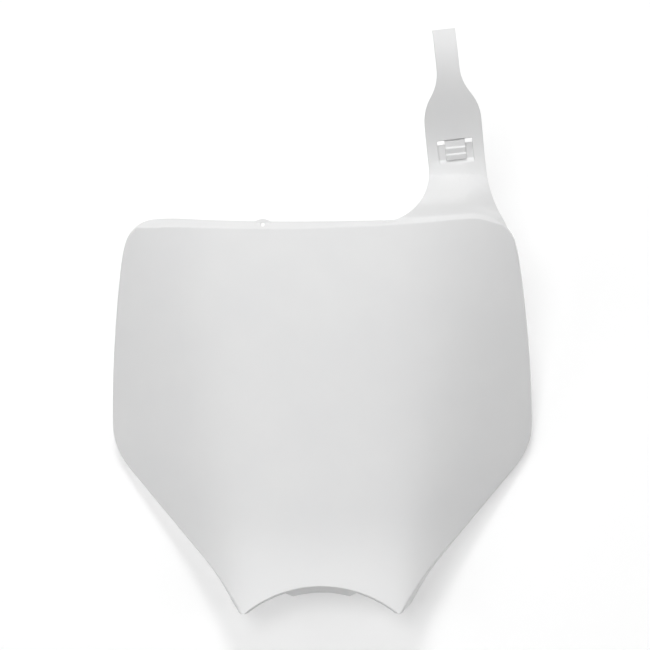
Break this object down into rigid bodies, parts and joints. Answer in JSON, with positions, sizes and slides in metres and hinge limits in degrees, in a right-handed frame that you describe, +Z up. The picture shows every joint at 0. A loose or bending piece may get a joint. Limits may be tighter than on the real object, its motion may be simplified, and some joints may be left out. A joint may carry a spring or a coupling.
{
  "type": "front number plate",
  "caption": "Curved white front number plate for an off-road motorbike, with folded-back wings, a bevelled top lip, an arched foot with a bolt tab, and a buckle strap rising at one side.",
  "frame": {"origin": "centre of the bolt hole, on the underside of the bolt tab", "axes": "+X to the viewer's right seen from the front, +Y to the rear of the motorbike, +Z up"},
  "size_m": [0.2646, 0.0806, 0.3505],
  "materials": {
    "plate_plastic": "satin moulded polypropylene, white"
  },
  "bodies": {
    "root": {"number_plate": "plate_plastic"}
  },
  "joints": []
}
